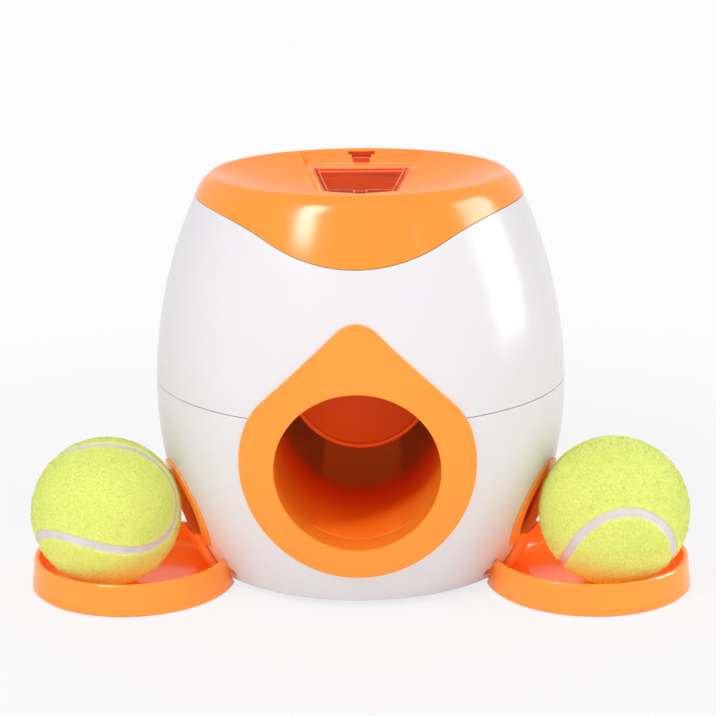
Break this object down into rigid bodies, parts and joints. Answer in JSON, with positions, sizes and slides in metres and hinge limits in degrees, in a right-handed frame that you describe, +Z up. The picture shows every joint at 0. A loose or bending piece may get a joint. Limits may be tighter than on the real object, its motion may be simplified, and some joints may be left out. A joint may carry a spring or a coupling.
{
  "type": "ball-fed dog treat dispenser",
  "caption": "Barrel-shaped dog toy: a ball pushed into the front mouth swings a flap and turns a drum that sends treats to two side trays.",
  "frame": {"origin": "on the barrel's vertical axis, at the floor under the rubber feet", "axes": "+Z up, -Y towards the ball mouth in front, +X towards the right tray as seen from the front"},
  "size_m": [0.2898, 0.1833, 0.1765],
  "materials": {
    "orange_shell": "gloss moulded ABS",
    "white_shell": "gloss moulded ABS",
    "base_white": "fine matte texture",
    "clear_lid": "clear moulded polycarbonate",
    "inner_orange": "semi-gloss moulded ABS",
    "frame_plastic": "matte moulded ABS",
    "gear_plastic": "natural acetal",
    "steel": "bright drawn",
    "foot_rubber": "matte",
    "ball_rubber": "matte",
    "ball_felt": "brushed felt with pale seams"
  },
  "bodies": {
    "housing": {"lower_shell": "white_shell", "upper_shell": "white_shell", "top_cover": "orange_shell", "front_panel": "orange_shell", "base_plate": "base_white", "rubber_feet": "foot_rubber", "base_screws": "steel", "ball_tunnel": "inner_orange", "mechanism_frame": "frame_plastic", "frame_screws": "steel", "axle_bushes": "gear_plastic", "flap_spring": "steel", "treat_hopper": "inner_orange", "hopper_screws": "steel", "left_treat_duct": "inner_orange", "right_treat_duct": "inner_orange", "left_outlet_bezel": "orange_shell", "right_outlet_bezel": "orange_shell"},
    "lid": {"treat_lid": "clear_lid"},
    "flap": {"push_flap": "inner_orange", "flap_axle": "steel", "flap_axle_clips": "steel", "flap_gear_sector": "gear_plastic"},
    "drum": {"treat_drum": "gear_plastic", "drum_shaft": "steel", "drum_shaft_clips": "steel", "drum_pinion": "gear_plastic"},
    "left_tray": {"left_tray": "orange_shell"},
    "right_tray": {"right_tray": "orange_shell"},
    "left_ball": {"left_ball_core": "ball_rubber", "left_ball_felt": "ball_felt"},
    "right_ball": {"right_ball_core": "ball_rubber", "right_ball_felt": "ball_felt"}
  },
  "joints": [
    {"name": "lid_hinge", "type": "hinge", "parent": "housing", "child": "lid", "pos_m": [0, 0.06076, 0.17258], "axis": [-1, 0, 0], "range_deg": [0, 100]},
    {"name": "flap_hinge", "type": "hinge", "parent": "housing", "child": "flap", "pos_m": [0, 0.009, 0.112], "axis": [1, 0, 0], "range_deg": [0, 38], "stiffness_Nm_per_rad": 0.03, "springref_deg": -20.05, "deforming": ["flap_spring"]},
    {"name": "drum_spin", "type": "hinge", "parent": "housing", "child": "drum", "pos_m": [0, 0.049, 0.112], "axis": [1, 0, 0], "range_deg": [-179.2, 0]},
    {"name": "left_tray_slide", "type": "slide", "parent": "housing", "child": "left_tray", "axis": [-0.9336, -0.3584, 0], "range_m": [0, 0.05]},
    {"name": "right_tray_slide", "type": "slide", "parent": "housing", "child": "right_tray", "axis": [0.9336, -0.3584, 0], "range_m": [0, 0.05]},
    {"name": "left_ball_lift", "type": "slide", "parent": "left_tray", "child": "left_ball", "axis": [-0.2379, -0.102, 0.9659], "range_m": [0, 0.12]},
    {"name": "right_ball_lift", "type": "slide", "parent": "right_tray", "child": "right_ball", "axis": [0.2379, -0.102, 0.9659], "range_m": [0, 0.12]}
  ],
  "couplings": [
    {"joint": "drum_spin", "follows": "flap_hinge", "ratio": -4.7143}
  ]
}
